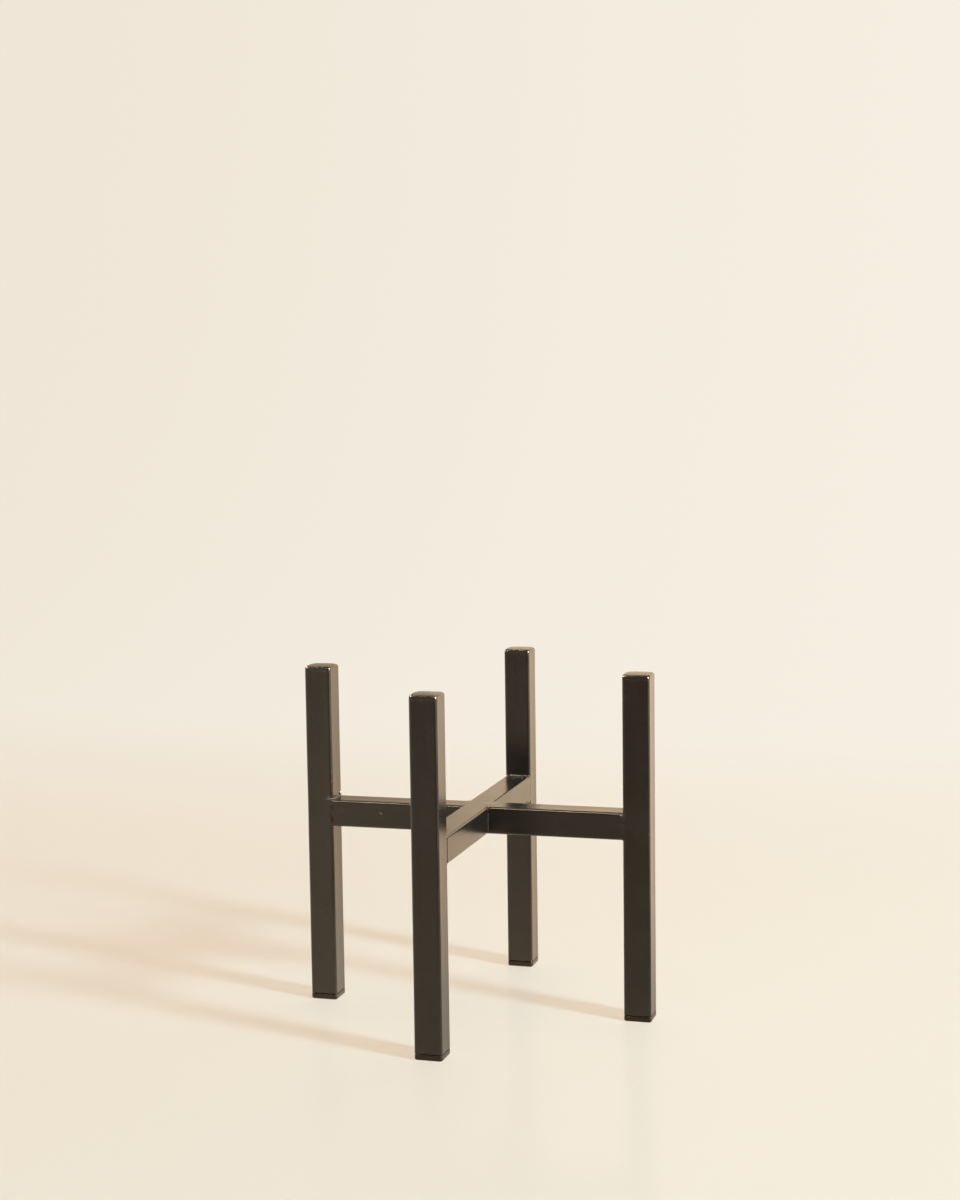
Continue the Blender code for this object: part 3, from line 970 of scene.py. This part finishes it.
class PLANTSTAND_OT_bars(bpy.types.Operator):
    """Adds the through bar and the two stub bars of the cross"""

    bl_idname = "plant_stand.bars"
    bl_label = "Bars"

    def execute(self, context):
        sizes, colours = chosen(context)
        runs = (
            ("through_bar", BAR_LOW[1], BAR_HIGH[1], Y_AXIS),
            ("stub_bar_left", *(corner[0] for corner in box("stub_bar_left")), X_AXIS),
            ("stub_bar_right", *(corner[0] for corner in box("stub_bar_right")), X_AXIS),
        )
        for seed, (node, low, high, axis) in enumerate(runs):
            points = tube(low - BAR_REACH, high + BAR_REACH, sizes, seed + BAR_SEED)
            surfaces = [closed_grid(placed(points, (0, 0, BAR_HEIGHT), UP, axis))]
            if node in STUB_MARKS:
                face = np.array((0, -TUBE_HALF, BAR_HEIGHT))
                surfaces += marks(STUB_MARKS[node], face, UP, (-1, 0, 0), sizes)
            else:
                surfaces += ground_patches()
            add_piece(f"painted_{node}", surfaces, "painted_steel", [node], colours)
        return {"FINISHED"}


class PLANTSTAND_OT_leg_beads(bpy.types.Operator):
    """Adds the weld beads between the bars and the legs, with their drops"""

    bl_idname = "plant_stand.leg_beads"
    bl_label = "Beads at the legs"

    def execute(self, context):
        sizes, colours = chosen(context)
        inner = LEG_RADIUS - TUBE_HALF
        for seed, side in enumerate(SIDES):
            x, y = LEG_PLACES[side]
            inwards = (-np.sign(x), -np.sign(y), 0)
            origin = (np.sign(x) * inner, np.sign(y) * inner, BAR_HEIGHT)
            points = placed(bead(sizes.bead, JOINTS[side], sizes, seed + BEAD_SEED), origin, inwards, UP)
            surfaces = [closed_grid(points), *drops(side, seed)]
            add_piece(f"weld_bead_{side}", surfaces, "painted_weld", [f"weld_{side}"], colours)
        return {"FINISHED"}


class PLANTSTAND_OT_centre_beads(bpy.types.Operator):
    """Adds the weld beads between the stub bars and the through bar"""

    bl_idname = "plant_stand.centre_beads"
    bl_label = "Beads at the centre"

    def execute(self, context):
        sizes, colours = chosen(context)
        for seed, (joint, away) in enumerate((("centre_left", -1), ("centre_right", 1))):
            points = bead(sizes.centre_bead, JOINTS[joint], sizes, seed + CENTRE_SEED)
            points = placed(points, (away * TUBE_HALF, 0, BAR_HEIGHT), (away, 0, 0), Y_AXIS)
            surfaces = [closed_grid(points), *drops(joint, seed)]
            add_piece(f"weld_bead_{joint}", surfaces, "painted_weld", [f"weld_{joint}"], colours)
        return {"FINISHED"}


# Stage

FLOOR_REACH = 6.0
WALL_START = 1.3  # where the floor begins to curve up into the backdrop
WALL_RADIUS = 1.4
WALL_TOP = 5.0
SWEEP_STEPS = 24

CAMERA_PLACE = (0.43507, -1.47685, 0.46650)
CAMERA_YAW = math.radians(16.297)
CAMERA_DIP = math.radians(6.079)
CAMERA_ROLL = math.radians(-0.768)
CAMERA_LENS = 64.05
CAMERA_SENSOR = 36

# Lights as (name, place, width and height, power, colour, what they light). Each looks at the
# middle of the cross. The glints are the key light and a wide strip, as the gloss mirrors them.
LIGHTS = (
    ("key_light", (3.45, -1.17, 1.80), (0.62, 0.62), 216.0, (0.48, 0.81, 1.0), "matt"),
    ("key_glint", (3.45, -1.17, 1.80), (1.10, 2.00), 2100.0, (1.0, 0.93, 0.85), "gloss"),
    ("second_light", (-1.02, -1.98, 2.72), (0.75, 0.25), 3.0, (1.0, 0.98, 0.95), "matt"),
    ("strip_glint", (-1.02, -1.98, 2.72), (1.10, 0.16), 110.0, (1.0, 0.92, 0.82), "gloss"),
    ("left_glint", (-2.40, 0.20, 2.30), (4.20, 0.14), 360.0, (1.0, 0.92, 0.82), "gloss"),
    ("top_light", (-0.15, 0.20, 3.20), (2.20, 2.20), 29.6, (1.0, 0.704, 0.361), "matt"),
)
SURROUND_STRENGTH = 0.12
FLOOR_GLOW = 0.61  # share of the backdrop's even colour that the floor shows near the stand
FLOOR_SHEEN = 0.08
FLOOR_ROUGHNESS = 0.14
FLOOR_END = (0.25, 1.3)  # from where to where along Y the floor turns into the backdrop
BACKDROP_TURN = (-1.85, 0.9)  # from where to where along X its darker left colour turns into its lighter right: painted falloff of light
BACKDROP_CLOUD = 0.05  # how far that turn wanders
MIRRORED_FAR = (1.45, 1.19, 0.93)  # painted reflection: the backdrop as the gloss sees it, brighter and warmer than its colour
FAR_GAIN = 0.62  # how bright that painted reflection is on the left, and steps of (gain, from x, to x) that paint it brighter to the right
FAR_STEPS = ((0.51, -0.88, -0.72), (0.38, 0.15, 0.60))
MIRRORED_NEAR = (1.0, 0.86, 0.70)  # painted reflection: the floor before and beside the stand as the gloss sees it, a glow in place of its lit surface
NEAR_GAIN = (1.07, 0.85, -1.95)  # how bright that painted light is in the middle, and more for each metre of Y and X
NEAR_LIMITS = (0.35, 1.4)  # least and greatest gain
NEAR_END = (-0.1, 0.4)  # from where to where along Y the painted floor reflection ends


def sweep():
    """The floor and backdrop: a flat run, a quarter circle up and a wall, carried along X."""
    quarter = np.linspace(0, math.pi / 2, SWEEP_STEPS)
    wall = WALL_START + WALL_RADIUS
    y = np.concatenate(([-FLOOR_REACH], WALL_START + WALL_RADIUS * np.sin(quarter), [wall]))
    z = np.concatenate(([0], WALL_RADIUS * (1 - np.cos(quarter)), [WALL_TOP]))
    x = np.array([-FLOOR_REACH, FLOOR_REACH])
    grid = np.stack(np.broadcast_arrays(x[None, :], y[:, None], z[:, None]), -1)
    rows = np.arange(len(y) - 1)
    faces = np.stack((2 * rows, 2 * rows + 1, 2 * rows + 3, 2 * rows + 2), -1)
    return grid.reshape(-1, 3), faces


def floor_material(colours):
    """Pale satin floor that turns, past the stand's shadows, into a backdrop glowing with a painted
    falloff of light, and that glossy rays see as a painted glow.
    """
    material = bpy.data.materials.new("pale_floor")
    shader = Shader(material)
    place = {"Vector": shader.place()}
    x, y = (shader.node("SeparateXYZ", None, place, output=axis) for axis in "XY")
    matt = shader.node("BsdfDiffuse", None, {"Color": colours.floor})
    sockets = {"Color": (1.0, 1.0, 1.0), "Roughness": FLOOR_ROUGHNESS}
    satin = shader.node("BsdfGlossy", None, sockets)
    floor = shader.blend(FLOOR_SHEEN, matt, satin)
    # Painted falloff of light: the backdrop goes from darker on the left to lighter on the right
    across = shader.step(x + BACKDROP_CLOUD * shader.noise(*BACKDROP_NOISE), *BACKDROP_TURN)
    backdrop = shader.mix(across, colours.backdrop_left, colours.backdrop_right)
    away = shader.step(y, *FLOOR_END)
    glow = shader.mix(away, colours.floor_glow, backdrop)
    rays = {0: shader.ray("Camera"), 1: shader.ray("Transmission")}
    seen = shader.node("Math", {"operation": "MAXIMUM"}, rays)
    even = shader.node("Emission", None, {"Color": glow})
    shown = seen * (FLOOR_GLOW + (1 - FLOOR_GLOW) * away)
    floor = shader.blend(shown, floor, even)

    # Glossy rays see painted light in place of the lit floor and backdrop: a glow, brighter in places,
    # with no shadows
    gain = FAR_GAIN
    for more, start, end in FAR_STEPS:
        gain = gain + more * shader.step(x, start, end)
    far = shader.tinted(shader.tinted(backdrop, MIRRORED_FAR), gain)
    gain, more_y, more_x = NEAR_GAIN
    gain = shader.limited(gain + more_y * y + more_x * x, *NEAR_LIMITS)
    near = shader.tinted(MIRRORED_NEAR, gain)
    painted_floor_reflection = shader.mix(shader.step(y, *NEAR_END), near, far)
    painted_floor_reflection = shader.node("Emission", None, {"Color": painted_floor_reflection})
    finished(shader, shader.blend(shader.ray("Glossy"), floor, painted_floor_reflection))
    return material


def add_lights():
    """Adds the lights, each turned to the middle of the cross."""
    target = np.array((0, 0, BAR_HEIGHT))
    for name, place, (width, height), power, tint, lit in LIGHTS:
        light = bpy.data.lights.new(name, "AREA")
        light.shape = "ELLIPSE"
        light.size = width
        light.size_y = height
        light.energy = power
        light.color = tint
        lamp = bpy.data.objects.new(name, light)
        bpy.context.scene.collection.objects.link(lamp)
        lamp.rotation_euler = Vector(target - place).to_track_quat("-Z", "Y").to_euler()
        lamp.location = place
        lamp.visible_diffuse = lit == "matt"
        lamp.visible_glossy = lit == "gloss"


def add_world(colours):
    """Soft light from all sides: the gloss mirrors a dim room instead, and the camera sees pale."""
    world = bpy.data.worlds.new("soft_surround")
    shader = Shader(world)
    sockets = {"Color": colours.surround, "Strength": SURROUND_STRENGTH}
    light = shader.node("Background", None, sockets)
    room = shader.node("Background", None, {"Color": colours.room})
    pale = shader.node("Background", None, {"Color": colours.backdrop_right})
    lit = shader.blend(shader.ray("Glossy"), light, room)
    finished(shader, shader.blend(shader.ray("Camera"), lit, pale), "World")
    bpy.context.scene.world = world


def add_camera():
    """The photograph's view: yaw about Z, then the dip and the slight roll of the camera."""
    yaw, dip, roll = CAMERA_YAW, CAMERA_DIP, CAMERA_ROLL
    look = np.array((-math.sin(yaw) * math.cos(dip), math.cos(yaw) * math.cos(dip), -math.sin(dip)))
    right = np.array((math.cos(yaw), math.sin(yaw), 0))
    up = np.cross(right, look)
    camera_x = math.cos(roll) * right + math.sin(roll) * up
    camera_y = math.cos(roll) * up - math.sin(roll) * right
    data = bpy.data.cameras.new("camera")
    data.lens = CAMERA_LENS
    data.sensor_fit = "AUTO"
    data.sensor_width = CAMERA_SENSOR
    camera = bpy.data.objects.new("camera", data)
    turn = Matrix(np.stack((camera_x, camera_y, -look), -1).tolist()).to_4x4()
    turn.translation = CAMERA_PLACE
    camera.matrix_world = turn
    bpy.context.scene.collection.objects.link(camera)
    bpy.context.scene.camera = camera


class PLANTSTAND_OT_stage(bpy.types.Operator):
    """Adds the floor and backdrop, the lights and the camera"""

    bl_idname = "plant_stand.stage"
    bl_label = "Stage"

    def execute(self, context):
        vertices, faces = sweep()
        mesh = bpy.data.meshes.new("floor")
        mesh.from_pydata(vertices.tolist(), [], faces.tolist())
        mesh.materials.append(floor_material(context.scene.stand_colours))
        mesh.shade_smooth()
        floor = bpy.data.objects.new("floor", mesh)
        context.scene.collection.objects.link(floor)
        add_lights()
        add_world(context.scene.stand_colours)
        add_camera()
        context.scene.view_settings.view_transform = "Standard"
        return {"FINISHED"}


OPERATORS = (
    PLANTSTAND_OT_legs,
    PLANTSTAND_OT_caps,
    PLANTSTAND_OT_feet,
    PLANTSTAND_OT_bars,
    PLANTSTAND_OT_leg_beads,
    PLANTSTAND_OT_centre_beads,
    PLANTSTAND_OT_stage,
)


class PLANTSTAND_PT_sidebar(bpy.types.Panel):
    """Lists the stand's pieces, sizes and colours"""

    bl_idname = "PLANTSTAND_PT_sidebar"
    bl_label = "Plant Stand"
    bl_space_type = "VIEW_3D"
    bl_region_type = "UI"
    bl_category = "Plant Stand"

    def draw(self, context):
        layout = self.layout
        for group in (context.scene.stand_sizes, context.scene.stand_colours):
            for name in group.__annotations__:
                layout.prop(group, name)
        for operator in OPERATORS:
            layout.operator(operator.bl_idname)


CLASSES = (StandSizes, StandColours, *OPERATORS, PLANTSTAND_PT_sidebar)


def register():
    for entry in CLASSES:
        bpy.utils.register_class(entry)
    bpy.types.Scene.stand_sizes = bpy.props.PointerProperty(type=StandSizes)
    bpy.types.Scene.stand_colours = bpy.props.PointerProperty(type=StandColours)


def unregister():
    del bpy.types.Scene.stand_colours
    del bpy.types.Scene.stand_sizes
    for entry in reversed(CLASSES):
        bpy.utils.unregister_class(entry)


def main():
    register()
    bpy.ops.plant_stand.legs()
    bpy.ops.plant_stand.caps()
    bpy.ops.plant_stand.feet()
    bpy.ops.plant_stand.bars()
    bpy.ops.plant_stand.leg_beads()
    bpy.ops.plant_stand.centre_beads()
    bpy.ops.plant_stand.stage()


if __name__ == "__main__":
    main()
